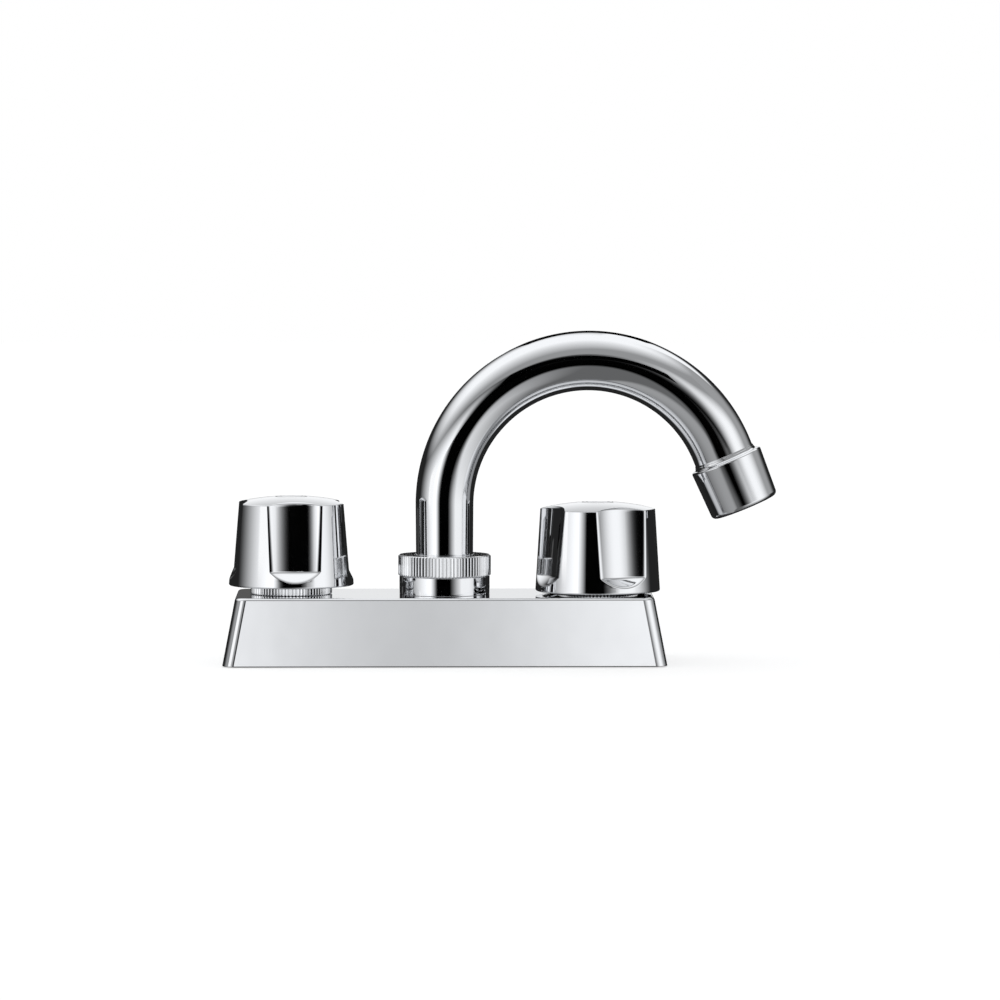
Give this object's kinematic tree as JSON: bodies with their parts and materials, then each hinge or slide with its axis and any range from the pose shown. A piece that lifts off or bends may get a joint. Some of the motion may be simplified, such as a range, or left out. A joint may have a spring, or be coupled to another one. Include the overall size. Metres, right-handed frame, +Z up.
{
  "type": "basin mixer tap",
  "caption": "Chrome basin mixer with a box-shaped body, scooped round knobs on rising spindles and a swivelling arched tube spout.",
  "frame": {"origin": "underside of the base gasket, on the spout's axis", "axes": "+X the way the spout points at rest and along the line of both valves, +Z up the spout's axis, the picture looks along +Y"},
  "size_m": [0.1829, 0.0528, 0.1096],
  "materials": {
    "chrome_plate": "bright polished chrome plate",
    "index_disc": "satin chrome disc, plain",
    "brass": "machined and as-cast brass, unplated",
    "stainless_steel": "plain turned stainless steel",
    "black_rubber": "matt moulded rubber",
    "insert_plastic": "moulded grey acetal"
  },
  "bodies": {
    "base": {"cover": "chrome_plate", "base_gasket": "black_rubber", "waterway": "brass", "spout_boss": "chrome_plate", "spout_nut": "chrome_plate", "left_bonnet": "brass", "left_lock_ring": "chrome_plate", "right_bonnet": "brass", "right_lock_ring": "chrome_plate"},
    "spout": {"spout_tube": "chrome_plate", "spout_ferrule": "brass", "spout_snap_ring": "stainless_steel", "spout_o_ring_lower": "black_rubber", "spout_o_ring_upper": "black_rubber", "aerator_housing": "chrome_plate", "aerator_insert": "insert_plastic", "aerator_washer": "black_rubber"},
    "left_valve": {"left_jumper": "brass", "left_seat_washer": "black_rubber", "left_washer_screw": "stainless_steel"},
    "left_handle": {"left_knob": "chrome_plate", "left_index_button": "index_disc", "left_knob_screw": "stainless_steel", "left_spindle": "brass", "left_spindle_o_ring": "black_rubber"},
    "right_valve": {"right_jumper": "brass", "right_seat_washer": "black_rubber", "right_washer_screw": "stainless_steel"},
    "right_handle": {"right_knob": "chrome_plate", "right_index_button": "index_disc", "right_knob_screw": "stainless_steel", "right_spindle": "brass", "right_spindle_o_ring": "black_rubber"}
  },
  "joints": [
    {"name": "spout_swivel", "type": "hinge", "parent": "base", "child": "spout", "pos_m": [0, 0, 0.0355], "axis": [0, 0, 1], "continuous": true},
    {"name": "left_valve_rise", "type": "slide", "parent": "base", "child": "left_valve", "axis": [0, 0, 1], "range_m": [-0.002, 0.002]},
    {"name": "left_knob_turn", "type": "hinge", "parent": "left_valve", "child": "left_handle", "pos_m": [-0.0508, 0, 0.0254], "axis": [0, 0, 1], "range_deg": [-360, 360]},
    {"name": "right_valve_rise", "type": "slide", "parent": "base", "child": "right_valve", "axis": [0, 0, 1], "range_m": [0, 0.004]},
    {"name": "right_knob_turn", "type": "hinge", "parent": "right_valve", "child": "right_handle", "pos_m": [0.0508, 0, 0.0234], "axis": [0, 0, 1], "range_deg": [0, 720]}
  ],
  "couplings": [
    {"joint": "left_knob_turn", "follows": "left_valve_rise", "rad_per_m": 3141.6},
    {"joint": "right_knob_turn", "follows": "right_valve_rise", "rad_per_m": 3141.6}
  ]
}
